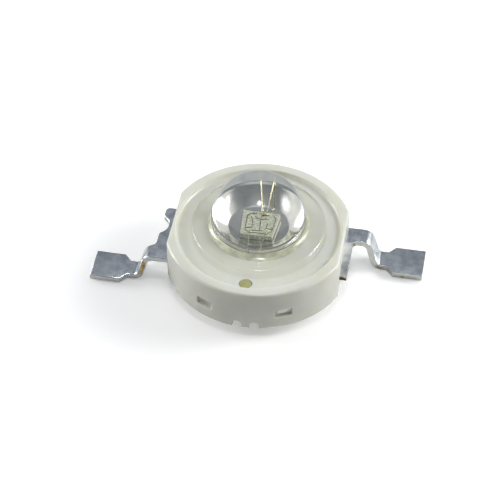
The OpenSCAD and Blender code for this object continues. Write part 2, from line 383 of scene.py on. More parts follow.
def fit_out(
    obj: Object, finishes: Sequence[Material], node: str, sharp: float = 35.0
) -> Object:
    """Gives a piece its finishes and tells the frame what it is.

    Args:
        obj: The piece.
        finishes: Its materials, in slot order.
        node: The CAD node that it stands for.
        sharp: The least angle of an edge that stays sharp, in degrees.

    Returns:
        The piece.
    """
    obj.data.shade_smooth()
    obj.data.set_sharp_from_angle(angle=math.radians(sharp))
    for finish in finishes:
        obj.data.materials.append(finish)
    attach(obj, BODY)
    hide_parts(node)
    log.info("%s: %d faces for %s", obj.name, len(obj.data.polygons), node)
    return obj


class Nodes:
    """The node tree of a material, a lamp or the sky, as it is filled."""

    def __init__(self, owner: bpy.types.ID) -> None:
        """Empties the owner's node tree.

        Args:
            owner: The material, light or world.
        """
        owner.use_nodes = True
        self.tree = owner.node_tree
        self.tree.nodes.clear()

    def add(
        self, kind: str, inputs: dict[str | int, object] | None = None, **settings: object
    ) -> Node:
        """Adds one node and gives it its settings, values and links.

        Args:
            kind: The node's type without ShaderNode, such as TexNoise.
            inputs: For an input's name or number, a value, a hex colour, an output
                socket, or a node whose first live output is linked.
            settings: Attributes of the node, by name.

        Returns:
            The new node.
        """
        node = self.tree.nodes.new("ShaderNode" + kind)
        for name, value in settings.items():
            setattr(node, name, value)
        for name, value in (inputs or {}).items():
            if isinstance(value, Node):
                value = next(socket for socket in value.outputs if socket.enabled)
            if isinstance(value, NodeSocket):
                self.tree.links.new(value, node.inputs[name])
            else:
                node.inputs[name].default_value = linear(value) if isinstance(value, str) else value
        return node


# ---------------------------------------------------------------- finishes


@dataclass(frozen=True)
class Finish:
    """One finish, which its own class or values describe.

    Attributes:
        name: The material's name.
    """

    name: str

    def surface(self, nodes: Nodes) -> Node:
        """Adds the nodes of the surface and gives the last one."""
        raise NotImplementedError

    def build(self) -> Material:
        """Builds the material.

        Returns:
            The material.
        """
        material = bpy.data.materials.new(self.name)
        nodes = Nodes(material)
        nodes.add("OutputMaterial", {"Surface": self.surface(nodes)})
        return material


@dataclass(frozen=True)
class MouldedPolyamide(Finish):
    """Moulded translucent polyphthalamide: light soaks in and comes back warm and soft.

    Attributes:
        pale: Colour of the plastic.
        olive: Colour of its faint patches, where what lies under it shows through.
        roughness: Least and greatest roughness of the polished mould face.
        flow: Size in millimetres of the slow waves that the melt's flow leaves.
        flow_relief: Depth in millimetres of those waves.
        grain: Size in millimetres of the fine spark-eroded grain.
        grain_relief: Depth in millimetres of the grain.
        soak: How far light soaks in, in millimetres.
    """

    name: str = "moulded_polyamide"
    pale: str = "#E6E7E2"
    olive: str = "#DCDCCC"
    roughness: Point2 = (0.12, 0.25)
    flow: float = 0.9
    flow_relief: float = 0.06
    grain: float = 0.05
    grain_relief: float = 0.003
    soak: float = 0.5

    def surface(self, nodes: Nodes) -> Node:
        """Adds the waves, the grain and the plastic that light soaks into.

        Args:
            nodes: The material's node tree.

        Returns:
            The surface's last node.
        """
        place = nodes.add("TexCoord").outputs["Object"]
        flow = nodes.add(
            "TexNoise", {"Vector": place, "Scale": 1 / (self.flow * MM), "Detail": 2.0}
        )
        grain = nodes.add(
            "TexNoise", {"Vector": place, "Scale": 1 / (self.grain * MM), "Detail": 3.0}
        )
        colour = nodes.add(
            "Mix", {"Factor": flow, MIX_A: self.pale, MIX_B: self.olive}, data_type="RGBA"
        )
        waves = nodes.add(
            "Bump", {"Height": flow, "Strength": 0.55, "Distance": self.flow_relief * MM}
        )
        bump = nodes.add("Bump", {
            "Height": grain, "Strength": 0.12, "Distance": self.grain_relief * MM, "Normal": waves,
        })
        smooth, dull = self.roughness
        gloss = nodes.add("MapRange", {"Value": flow, "To Min": smooth, "To Max": dull})
        return nodes.add("BsdfPrincipled", {
            "Base Color": colour, "Roughness": gloss, "IOR": 1.53, "Normal": bump,
            "Subsurface Weight": 0.6, "Subsurface Radius": (1.0, 0.9, 0.7),
            "Subsurface Scale": self.soak * MM,
        })


@dataclass(frozen=True)
class ClearFace(Finish):
    """A clear polished face. It passes lamp light, so that what lies under it is lit.

    Attributes:
        tint: Colour of light that passes it.
        ior: Its refractive index against what lies before it.
    """

    tint: str
    ior: float

    def surface(self, nodes: Nodes) -> Node:
        """Adds the refracting face, and the clear one that lamp light meets.

        Args:
            nodes: The material's node tree.

        Returns:
            The surface's last node.
        """
        clear = nodes.add("BsdfPrincipled", {
            "Base Color": self.tint, "Roughness": 0.0, "IOR": self.ior, "Transmission Weight": 1.0,
        })
        path = nodes.add("LightPath")
        gathering = nodes.add(
            "Math", {0: path.outputs["Is Shadow Ray"], 1: path.outputs["Is Diffuse Ray"]},
            operation="MAXIMUM",
        )
        passing = nodes.add("BsdfTransparent", {"Color": self.tint})
        return nodes.add("MixShader", {0: gathering, 1: clear, 2: passing})


@dataclass(frozen=True)
class WettedInterface(Finish):
    """Silicone wetting the lens and the metal: the indices match, so no face shows."""

    name: str = "wetted_silicone_interface"
    tint: str = "#FDFDFB"

    def surface(self, nodes: Nodes) -> Node:
        """Adds the see-through face with the silicone's cast."""
        return nodes.add("BsdfTransparent", {"Color": self.tint})


@dataclass(frozen=True)
class PaintedReflectionFilm(Finish):
    """Painted reflection: a pale, faintly blue matt film on the silicone's floor, in place of the
    pale surroundings seen reflected there.
    """

    name: str = "painted_reflection_film"
    film: str = "#DDE2E8"

    def surface(self, nodes: Nodes) -> Node:
        """Adds the pale matt film of painted reflection."""
        return nodes.add("BsdfDiffuse", {"Color": self.film})


@dataclass(frozen=True)
class PaintedLightVeil(Finish):
    """Painted light on clear silicone: a pale veil, seen from outside only, in place of the light
    that the lens brings in.

    Attributes:
        near: Colour of the light that the veil throws back.
        through: Colour of the light that shines through it.
        density: Least and greatest share of the light that it catches.
        veil_patch: Size in millimetres of the patches where the painted veil is thicker.
    """

    near: str
    through: str
    density: Point2 = (0.65, 0.95)
    veil_patch: float = 0.4

    def surface(self, nodes: Nodes) -> Node:
        """Adds the veil over a clear face.

        Args:
            nodes: The material's node tree.

        Returns:
            The surface's last node.
        """
        place = nodes.add("TexCoord").outputs["Object"]
        cloud = nodes.add(
            "TexNoise", {"Vector": place, "Scale": 1 / (self.veil_patch * MM), "Detail": 3.0}
        )
        thin, thick = self.density
        caught = nodes.add("MapRange", {
            "Value": cloud, "From Min": 0.3, "From Max": 0.7, "To Min": thin, "To Max": thick,
        })
        back = nodes.add("BsdfDiffuse", {"Color": self.near})
        onward = nodes.add("BsdfTranslucent", {"Color": self.through})
        veil = nodes.add("AddShader", {0: back, 1: onward})
        # What lies below is lit as if the veil were clear.
        inner_side = nodes.add("NewGeometry").outputs["Backfacing"]
        shadow = nodes.add("LightPath").outputs["Is Shadow Ray"]
        hidden = nodes.add("Math", {0: inner_side, 1: shadow}, operation="MAXIMUM")
        seen = nodes.add("Math", {0: caught, 1: hidden}, operation="SUBTRACT", use_clamp=True)
        return nodes.add("MixShader", {0: seen, 1: nodes.add("BsdfTransparent"), 2: veil})


@dataclass(frozen=True)
class CuredSilicone(Finish):
    """Cured optical silicone standing in a filling hole: a deep, wet, olive-yellow plug.

    Attributes:
        deep: Colour where the plug is deepest.
        edge: Colour where the plastic's light comes through at its edge.
        cloud: Size in millimetres of its changes of colour.
        soak: How far light soaks in, in millimetres.
    """

    name: str = "cured_silicone"
    deep: str = "#A3A25E"
    edge: str = "#B9B890"
    cloud: float = 0.35
    soak: float = 0.2

    def surface(self, nodes: Nodes) -> Node:
        """Adds the cloudy colour and the wet face.

        Args:
            nodes: The material's node tree.

        Returns:
            The surface's last node.
        """
        place = nodes.add("TexCoord").outputs["Object"]
        cloud = nodes.add(
            "TexNoise", {"Vector": place, "Scale": 1 / (self.cloud * MM), "Detail": 1.0}
        )
        colour = nodes.add(
            "Mix", {"Factor": cloud, MIX_A: self.deep, MIX_B: self.edge}, data_type="RGBA"
        )
        return nodes.add("BsdfPrincipled", {
            "Base Color": colour, "Roughness": 0.12, "IOR": 1.41, "Subsurface Weight": 0.4,
            "Subsurface Radius": (1.0, 0.95, 0.4), "Subsurface Scale": self.soak * MM,
        })


@dataclass(frozen=True)
class PlatedMetal(Finish):
    """A plated metal: a bright skin with faint stains over a strip that is a little wavy.

    Attributes:
        bright: Colour of the plating where it is clean.
        dull: Colour of its faint stains.
        roughness: Roughness of the plating, which the waves change by 0.4 of it.
        grain: Size in millimetres of its grains, drawn coarse enough to show.
        relief: Depth in millimetres of its grain.
        wave: Length of the strip's slow waves in grains, and their depth in grain depths.
    """

    bright: str
    dull: str
    roughness: float
    grain: float
    relief: float
    wave: float = 8.0

    def surface(self, nodes: Nodes) -> Node:
        """Adds the grain, the waves, the stains and the metal.

        Args:
            nodes: The material's node tree.

        Returns:
            The surface's last node.
        """
        place = nodes.add("TexCoord").outputs["Object"]
        grain = nodes.add("TexNoise", {
            "Vector": place, "Scale": 1 / (self.grain * MM), "Detail": 4.0, "Roughness": 0.6,
        })
        wave = nodes.add(
            "TexNoise", {"Vector": place, "Scale": 1 / (self.grain * self.wave * MM), "Detail": 2.0}
        )
        height = nodes.add("Math", {0: wave, 1: self.wave, 2: grain}, operation="MULTIPLY_ADD")
        blotch = nodes.add("MapRange", {"Value": wave, "From Min": 0.35, "From Max": 0.65})
        colour = nodes.add(
            "Mix", {"Factor": blotch, MIX_A: self.dull, MIX_B: self.bright}, data_type="RGBA"
        )
        gloss = nodes.add("MapRange", {
            "Value": wave, "From Min": 0.3, "From Max": 0.7,
            "To Min": self.roughness * 0.6, "To Max": self.roughness * 1.4,
        })
        bump = nodes.add("Bump", {"Height": height, "Strength": 0.4, "Distance": self.relief * MM})
        return nodes.add("BsdfPrincipled", {
            "Base Color": colour, "Roughness": gloss, "Metallic": 1.0, "Normal": bump,
        })


@dataclass(frozen=True)
class SawnDie(Finish):
    """Sawn and passivated gallium-nitride die on its carrier: satin green-grey.

    Attributes:
        face: Colour of the light-giving mesas.
        ground: Colour between them.
        mottle: Size in millimetres of the patches, drawn coarse enough to show.
    """

    name: str = "sawn_die"
    face: str = "#E6E9DB"
    ground: str = "#A4A998"
    mottle: float = 0.06

    def surface(self, nodes: Nodes) -> Node:
        """Adds the mottled satin face.

        Args:
            nodes: The material's node tree.

        Returns:
            The surface's last node.
        """
        place = nodes.add("TexCoord").outputs["Object"]
        mottle = nodes.add(
            "TexNoise", {"Vector": place, "Scale": 1 / (self.mottle * MM), "Detail": 3.0}
        )
        lit = nodes.add("MapRange", {"Value": mottle, "From Min": 0.36, "From Max": 0.64})
        colour = nodes.add(
            "Mix", {"Factor": lit, MIX_A: self.ground, MIX_B: self.face}, data_type="RGBA"
        )
        return nodes.add("BsdfPrincipled", {"Base Color": colour, "Roughness": 0.35, "IOR": 2.0})


@dataclass(frozen=True)
class ShearedEdge(Finish):
    """Sheared lead edge: smeared tin with fine vertical tears, and copper where it tore.

    Attributes:
        worn_at: Place in millimetres about which it is barest.
        worn_r: How far from there it is bare, in millimetres.
        tin: Colour of the smeared tin.
        copper: Colour of the bare copper.
        tarnish: Colour of copper that has gone brown.
        patch: Size in millimetres of the bare patches.
        tear: Spacing in millimetres of the tears.
        tear_relief: Depth in millimetres of the tears.
    """

    worn_at: Point3
    worn_r: float
    tin: str = "#D3D4CF"
    copper: str = "#C9A768"
    tarnish: str = "#5C4030"
    patch: float = 0.5
    tear: float = 0.05
    tear_relief: float = 0.008

    def surface(self, nodes: Nodes) -> Node:
        """Adds the bare patches about the worn place, the tears and the metal.

        Args:
            nodes: The material's node tree.

        Returns:
            The surface's last node.
        """
        place = nodes.add("TexCoord").outputs["Object"]
        patch = nodes.add(
            "TexNoise", {"Vector": place, "Scale": 1 / (self.patch * MM), "Detail": 3.0}
        )
        away = nodes.add(
            "VectorMath", {0: place, 1: [c * MM for c in self.worn_at]}, operation="DISTANCE"
        )
        handled = nodes.add("MapRange", {
            "Value": away, "From Min": self.worn_r * 0.4 * MM, "From Max": self.worn_r * MM,
            "To Min": 0.16, "To Max": -0.06,
        }, interpolation_type="SMOOTHSTEP")
        worn = nodes.add("Math", {0: patch, 1: handled}, operation="ADD")
        # Tin goes first, and the copper under it turns brown where it has been bare longest.
        colour = self.tin
        for below, first, last in ((self.copper, 0.56, 0.64), (self.tarnish, 0.67, 0.74)):
            bare = nodes.add("MapRange", {"Value": worn, "From Min": first, "From Max": last})
            colour = nodes.add(
                "Mix", {"Factor": bare, MIX_A: colour, MIX_B: below}, data_type="RGBA"
            )
        # Tears run along the thickness, so the pattern is drawn out in height.
        drawn = nodes.add("Mapping", {"Vector": place, "Scale": (1.0, 1.0, 0.15)})
        tears = nodes.add(
            "TexNoise", {"Vector": drawn, "Scale": 1 / (self.tear * MM), "Detail": 2.0}
        )
        bump = nodes.add(
            "Bump", {"Height": tears, "Strength": 0.6, "Distance": self.tear_relief * MM}
        )
        return nodes.add("BsdfPrincipled", {
            "Base Color": colour, "Roughness": 0.34, "Metallic": 1.0, "Normal": bump,
        })


# Moulded optical polycarbonate, polished: it refracts sharply.
CLEAR_POLYCARBONATE = ClearFace("clear_polycarbonate", "#FDFDFD", 1.58)
# Polycarbonate wetted by silicone: the small step in index still bends light a little.
SILICONE_INTERFACE = ClearFace("silicone_interface", "#FDFDFC", 1.12)
# Painted light along the lens's taper: a pale yellowish veil in place of the light that the lens
# and the translucent plastic bring into the silicone.
PAINTED_LIGHT_VEIL = PaintedLightVeil("painted_light_veil", "#ADAC8F", "#D6D8CA")
# Painted reflection behind the cup's lip: a thin grey haze in place of the pale surroundings seen
# reflected there.
PAINTED_REFLECTION_HAZE = PaintedLightVeil("painted_reflection_haze", "#A1A4A9", "#C1C4C8")
# Bright silver electroplate on turned copper: a mirror with the faintest ripple.
SILVER_PLATE = PlatedMetal("bright_silver_plate", "#E9EAEB", "#DCDDDE", 0.0, 0.06, 0.0006)
# Bright tin electroplate on rolled strip: soft blurred reflections, faintly blotched.
TIN_PLATE = PlatedMetal("bright_tin_plate", "#EFF2F5", "#CDD3D9", 0.16, 0.05, 0.0012)
# Tin rubbed in the feeder: dull, pale and even.
SCUFFED_TIN = PlatedMetal("scuffed_tin_plate", "#EFEFEC", "#C3C6C5", 0.42, 0.07, 0.004)
# Tin where the tie bars were snapped off: rough, with brownish patches.
SNAPPED_TIN = PlatedMetal("snapped_tin_plate", "#FBF9F2", "#B9B09C", 0.5, 0.12, 0.02)
# Drawn gold wire: pale and bright.
GOLD_WIRE = PlatedMetal("drawn_gold", "#F3EDCB", "#E2DAB4", 0.2, 0.03, 0.0003)
# Gold evaporated on the die: dark thin lines under the silicone.
GOLD_FILM = PlatedMetal("evaporated_gold", "#7E7656", "#5E583F", 0.3, 0.03, 0.0003)
# Silver-filled epoxy, cured: grey and satin.
ATTACH_EPOXY = PlatedMetal("silver_filled_epoxy", "#A9A9A4", "#8B8B86", 0.45, 0.03, 0.002)
# Where the anode's edge bends, copper shows; the cut end of the cathode's arm went brown.
ANODE_EDGE = ShearedEdge("sheared_tin_over_copper", (-5.0, -1.22, 0.7), 1.0)
CATHODE_EDGE = ShearedEdge(
    "sheared_tin_gone_brown", (3.8, -1.27, 1.2), 0.38, copper="#B5A68C", tarnish="#57443A"
)


# ---------------------------------------------------------------- the LED's pieces


@dataclass
class Housing:
    """The moulded housing: rim, coved groove, lens seat, pockets, arches and flats."""

    radius: float = 4.0
    flat_x: float = SHARED.flat_x
    low: float = SHARED.housing_low
    low_round: float = 0.04
    rim_top: float = SHARED.rim_top
    rim_inner: float = 3.55
    rim_round: float = 0.12
    rim_inner_round: float = 0.03
    groove_depth: float = SHARED.rim_top - SHARED.groove
    seat_r: float = 2.89
    seat_z: float = SHARED.seat
    moat_r: float = SHARED.moat_r
    moat_floor: float = SHARED.lead_top - 2 * FILM
    column_r: float = SHARED.column_r + FILM
    slug_r: float = SHARED.slug_r + FILM
    slug_top: float = SHARED.slug_base + FILM
    fill_r: float = SHARED.fill_r
    fill_pcr: float = SHARED.fill_pcr
    fill_depth: float = 1.2
    # Depth, width and height of a pocket, and length of the shape that cuts it
    pocket: Point3 = (0.14, 0.74, 0.42)
    pocket_tool_l: float = 1.0
    pocket_top: float = SHARED.lead_top
    pocket_round: float = 0.05
    pocket_angles: tuple[float, ...] = SHARED.pocket_angles
    # Half-round arches in the lower edge of the front wall
    arch_r: float = 0.2
    arch_z: float = SHARED.housing_low + 0.16
    arch_depth: float = 0.7
    arch_angles: tuple[float, ...] = (-93.5, -82.9)
    # How far a cutting shape reaches past the wall
    past: float = 0.5
    segments: int = 240

    def profile(self) -> list[Point2]:
        """Gives the ring's section, from the bore's lower edge round and back.

        Returns:
            Points of radius and height in millimetres.
        """
        groove_r = self.rim_inner - self.groove_depth
        floor = self.rim_top - self.groove_depth
        low_r, rim_r, inner_r = self.low_round, self.rim_round, self.rim_inner_round
        return [
            (self.slug_r, self.low),
            *arc((self.radius - low_r, self.low + low_r), low_r, -90, 0, 3),
            *arc((self.radius - rim_r, self.rim_top - rim_r), rim_r, 0, 90, 8),
            *arc((self.rim_inner + inner_r, self.rim_top - inner_r), inner_r, 90, 150, 4),
            *arc((groove_r, self.rim_top), self.groove_depth, -20, -90, 8),
            (self.seat_r, floor),
            (self.seat_r, self.seat_z),
            (self.moat_r, self.seat_z),
            (self.moat_r, self.moat_floor),
            (self.column_r, self.moat_floor),
            (self.column_r, self.slug_top),
            (self.slug_r, self.slug_top),
        ]

    def flats_tool(self) -> BMesh:
        """Makes the slab between the two flats, with the rim's round along its top.

        Returns:
            The slab.
        """
        bend, reach = self.rim_round, self.radius + 2 * self.past
        side = [
            (self.flat_x, -2 * self.past),
            *arc((self.flat_x - bend, self.rim_top - bend), bend, 0, 90, 8),
        ]
        outline = side + [(-x, z) for x, z in reversed(side)]
        return move(extrude_outline(outline, -reach, reach), turned(90, "X"))

    def pocket_tool(self, angle: float) -> BMesh:
        """Makes the shape of one pocket in the wall.

        Args:
            angle: Where it is about the Z axis, in degrees.

        Returns:
            The cutting shape.
        """
        depth, width, height = self.pocket
        centre = (self.radius - depth + self.pocket_tool_l / 2, 0, self.pocket_top - height / 2)
        bm = box_mesh((self.pocket_tool_l, width, height), centre, angle)
        round_edges(bm, self.pocket_round, 3)
        return bm

    def arch_tool(self, angle: float) -> BMesh:
        """Makes the shape of one arch in the lower edge.

        Args:
            angle: Where it is about the Z axis, in degrees.

        Returns:
            The cutting shape.
        """
        outline = [
            (-self.arch_r, -2 * self.past), (self.arch_r, -2 * self.past),
            *arc((0.0, self.arch_z), self.arch_r, 0, 180, 16),
        ]
        bm = extrude_outline(outline, self.radius - self.arch_depth, self.radius + self.past)
        upright = Matrix(((0, 0, 1), (1, 0, 0), (0, 1, 0))).to_4x4()
        return move(bm, turned(angle) @ upright)

    def build(self, plastic: Material) -> Object:
        """Builds the housing.

        Args:
            plastic: The moulded plastic.

        Returns:
            The housing.
        """
        obj = new_object("moulded_housing", revolve(self.profile(), self.segments, closed=True))
        holes = [
            rod_mesh(self.fill_r, self.moat_floor, self.moat_floor + self.fill_depth, y)
            for y in (-self.fill_pcr, self.fill_pcr)
        ]
        boolean(obj, self.flats_tool(), Cut.KEEP)
        boolean(obj, join(self.pocket_tool(a) for a in self.pocket_angles), Cut.REMOVE)
        boolean(obj, join(self.arch_tool(a) for a in self.arch_angles), Cut.REMOVE)
        boolean(obj, join(holes), Cut.REMOVE)
        return fit_out(obj, [plastic], "housing", sharp=28)


class LensFace(IntEnum):
    """The slots of the lens's faces, in the order of its finishes."""

    OUTSIDE = 0
    CAVITY = 1
    SEAT = 2


@dataclass
class Lens:
    """The clear lens: a dome on a hollow collar and a flange, open underneath."""

    dome_r: float = 2.02
    dome_base: float = SHARED.dome_base
    collar_w: float = 0.42
    flange_r: float = 2.87
    flange_top: float = SHARED.flange_top
    flange_round: float = 0.13
    seat_z: float = SHARED.seat + FILM
    moat_r: float = SHARED.moat_r
    cavity_r: float = SHARED.cavity_r
    cavity_low: float = SHARED.cavity_low
    segments: int = 200

    def profile(self) -> list[Point2]:
        """Gives the section, from the dome's top round the flange and up the cavity.

        Returns:
            Points of radius and height in millimetres.
        """
        base, drop = (0.0, self.dome_base), self.dome_base - self.flange_top
        edge = (self.flange_r - self.flange_round, self.flange_top - self.flange_round)
        collar = [
            (self.dome_r + self.collar_w * (1 - c), self.dome_base - drop * s)
            for c, s in arc((0.0, 0.0), 1.0, 0, 90, 10)[1:]
        ]
        return [
            *arc(base, self.dome_r, 90, 0, 48),
            *collar,
            *arc(edge, self.flange_round, 90, 0, 6),
            (self.flange_r, self.seat_z),
            (self.moat_r, self.seat_z),
            (self.cavity_r, self.cavity_low),
            *arc(base, self.cavity_r, 0, 90, 32),
        ]

    def slot_of(self, face: BMFace, middle: Vector) -> LensFace:
        """Tells the faces of the seat and of the cavity from those outside.

        Args:
            face: The face; not used.
            middle: Its middle in millimetres.

        Returns:
            The number of its slot.
        """
        reach = math.hypot(middle.x, middle.y)
        if middle.z < self.seat_z + FILM or (reach < self.moat_r and middle.z < self.cavity_low):
            return LensFace.SEAT
        from_base = (middle - Vector((0, 0, self.dome_base))).length
        halfway = (self.cavity_r + self.dome_r) / 2
        inside = from_base < halfway and middle.z > self.cavity_low
        return LensFace.CAVITY if inside else LensFace.OUTSIDE

    def build(self, clear: Material, filled: Material, wetted: Material) -> Object:
        """Builds the lens.

        Args:
            clear: The polished plastic of its outer faces.
            filled: The finish of the cavity, where silicone fills it.
            wetted: The finish of the seat, where a film of silicone joins it to the housing.

        Returns:
            The lens.
        """
        bm = revolve(self.profile(), self.segments, closed=False)
        paint(bm, self.slot_of)
        obj = new_object("dome_lens", bm)
        return fit_out(obj, [clear, filled, wetted], "lens", sharp=40)


class SiliconeFace(IntEnum):
    """The slots of the filling's faces, in the order of its finishes."""

    WETTED = 0
    CURED = 1
    CLOUDED = 2
    SETTLED = 3
    PAINTED_HAZE = 4


@dataclass
class Filling:
    """The clear silicone under the lens, and the plugs that it leaves in the holes."""

    moat_r: float = SHARED.moat_r - FILM
    floor: float = SHARED.lead_top + FILM
    seat_z: float = SHARED.seat - FILM
    cavity_r: float = SHARED.cavity_r - FILM
    cavity_low: float = SHARED.cavity_low
    dome_base: float = SHARED.dome_base
    column_r: float = SHARED.column_r + FILM
    cup_top: float = SHARED.cup_mouth + FILM
    # The half ring that carries a painted reflection: its height, its inner radius and how far
    # forward it comes
    haze_ring_top: float = SHARED.cup_mouth + 0.115
    haze_ring_r: float = 1.35
    haze_ring_y: float = 0.4
    plug_r: float = SHARED.fill_r - FILM
    plug_pcr: float = SHARED.fill_pcr
    plug_top: float = SHARED.groove - 0.02
    plug_round: float = 0.06
    segments: int = 128

    def slot_of(self, face: BMFace, middle: Vector) -> SiliconeFace:
        """Tells the faces of the body's taper and of its floor from the rest.

        Args:
            face: The face; not used.
            middle: Its middle in millimetres.

        Returns:
            The number of its slot.
        """
        # The taper's outer faces carry painted light, and the floor's faces a painted reflection.
        tapered = self.seat_z < middle.z < self.cavity_low
        if tapered and math.hypot(middle.x, middle.y) > self.cavity_r:
            return SiliconeFace.CLOUDED
        return SiliconeFace.SETTLED if middle.z < self.floor + FILM else SiliconeFace.WETTED

    def body(self) -> BMesh:
        """Makes the silicone round the cup and under the dome.

        Returns:
            A closed shape.
        """
        bm = revolve(
            [
                (0.0, self.cup_top), (self.column_r, self.cup_top), (self.column_r, self.floor),
                (self.moat_r, self.floor), (self.moat_r, self.seat_z),
                (self.cavity_r, self.cavity_low),
                *arc((0.0, self.dome_base), self.cavity_r, 0, 90, 24),
            ],
            self.segments, closed=False,
        )
        paint(bm, self.slot_of)
        return bm

    def painted_haze_ring(self) -> BMesh:
        """Makes a thin half ring behind the cup's lip, whose top carries a painted reflection.

        Returns:
            A closed half ring.
        """
        inner, outer = self.haze_ring_r, self.cavity_r - FILM
        low, top = self.haze_ring_top - FILM, self.haze_ring_top
        section = [(inner, top), (outer, top), (outer, low), (inner, low)]
        bm = revolve(section, self.segments, closed=True)
        slice_mesh(bm, (0, self.haze_ring_y, 0), (0, 1, 0), drop_behind=True)
        bmesh.ops.holes_fill(bm, edges=[e for e in bm.edges if e.is_boundary], sides=4)
        bmesh.ops.recalc_face_normals(bm, faces=bm.faces)
        # Only the top carries the painted reflection; the rest is see-through.
        paint(bm, lambda face, _: SiliconeFace.PAINTED_HAZE if face.normal.z > 0.5 else SiliconeFace.WETTED)
        return bm

    def plug(self, y: float) -> BMesh:
        """Makes the plug of one filling hole.

        Args:
            y: The hole's place along Y in millimetres.

        Returns:
            The plug.
        """
        bm = rod_mesh(self.plug_r, self.floor, self.plug_top, y)
        round_edges(bm, self.plug_round, 3)
        paint(bm, lambda face, _: SiliconeFace.CURED)
        return bm

    def build(
        self, wetted: Material, cured: Material, light_veil: Material, reflection_film: Material,
        haze: Material,
    ) -> Object:
        """Builds the filling.

        Args:
            wetted: The finish of faces that the lens and the metal touch.
            cured: The finish of the plugs in the filling holes.
            light_veil: The painted light along the lens's taper.
            reflection_film: The painted reflection on the moat's floor.
            haze: The painted reflection on the half ring behind the cup's lip.

        Returns:
            The filling.
        """
        plugs = [self.plug(y) for y in (-self.plug_pcr, self.plug_pcr)]
        obj = new_object("silicone_filling", join([self.body(), self.painted_haze_ring(), *plugs]))
        finishes = [wetted, cured, light_veil, reflection_film, haze]
        return fit_out(obj, finishes, "encapsulant", sharp=40)


@dataclass
class HeatSlug:
    """The heat slug with its locking groove, column and reflector cup."""

    radius: float = SHARED.slug_r
    chamfer: float = 0.08
    base_h: float = SHARED.slug_base
    base_chamfer: float = 0.02
    # Locking groove: its depth, and the heights of its two edges
    lock: Point3 = (0.18, 0.67, 0.83)
    column_r: float = SHARED.column_r
    column_round: float = 0.03
    # The step at the column's foot
    foot_w: float = 0.4
    foot_h: float = 0.12
    mouth_z: float = SHARED.cup_mouth
    mouth_r: float = 1.32
    mouth_round: float = 0.02
    # How far the lip's inner edge lies within the mouth and below it
    lip: Point2 = (0.01, 0.015)
    floor_z: float = SHARED.cup_floor
    floor_r: float = 0.8
    wall_round: float = 0.22
    segments: int = 200

    def wall(self) -> list[Point2]:
        """Gives the cup's wall: a short curve out of the floor, then a cone to the lip.

        Returns:
            Points of radius and height in millimetres.
        """
        run = self.mouth_r - self.lip[0] - self.floor_r
        rise = self.mouth_z - self.lip[1] - self.floor_z
        # Slope of a cone that leaves the round's end and meets the lip.
        slant = math.hypot(run, rise - self.wall_round)
        slope = math.degrees(
            math.asin(self.wall_round / slant) - math.atan2(self.wall_round - rise, run)
        )
        centre = (self.floor_r, self.floor_z + self.wall_round)
        return [
            *arc(centre, self.wall_round, -90, slope - 90, 8),
            (self.floor_r + run, self.floor_z + rise),
        ]

    def profile(self) -> list[Point2]:
        """Gives the slug's section, from the middle of the cup out and down.

        Returns:
            Points of radius and height in millimetres.
        """
        depth, low, high = self.lock
        mouth, column, foot_r = self.mouth_round, self.column_round, self.column_r + self.foot_w
        return [
            (0.0, self.floor_z),
            *self.wall(),
            *arc((self.mouth_r + mouth, self.mouth_z - mouth), mouth, 150, 90, 3),
            *arc((self.column_r - column, self.mouth_z - column), column, 90, 0, 4),
            (self.column_r, self.base_h + self.foot_h),
            (foot_r, self.base_h + self.foot_h),
            (foot_r, self.base_h),
            (self.radius - self.base_chamfer, self.base_h),
            (self.radius, self.base_h - self.base_chamfer),
            (self.radius, high),
            (self.radius - depth, high),
            (self.radius - depth, low),
            (self.radius, low),
            (self.radius, self.chamfer),
            (self.radius - self.chamfer, 0.0),
            (0.0, 0.0),
        ]

    def build(self, silver: Material) -> Object:
        """Builds the slug.

        Args:
            silver: The bright silver plate.

        Returns:
            The slug.
        """
        obj = new_object("plated_slug", revolve(self.profile(), self.segments, closed=False))
        return fit_out(obj, [silver], "heat_slug", sharp=30)


class StripFace(IntEnum):
    """The slots of a plated strip's faces, in the order of its finishes."""

    PLATED = 0
    TORN = 1
    SCUFFED = 2


class Polarity(Enum):
    """Which way a lead leaves: its half turn about the middle, in degrees."""

    CATHODE = 0
    ANODE = 180


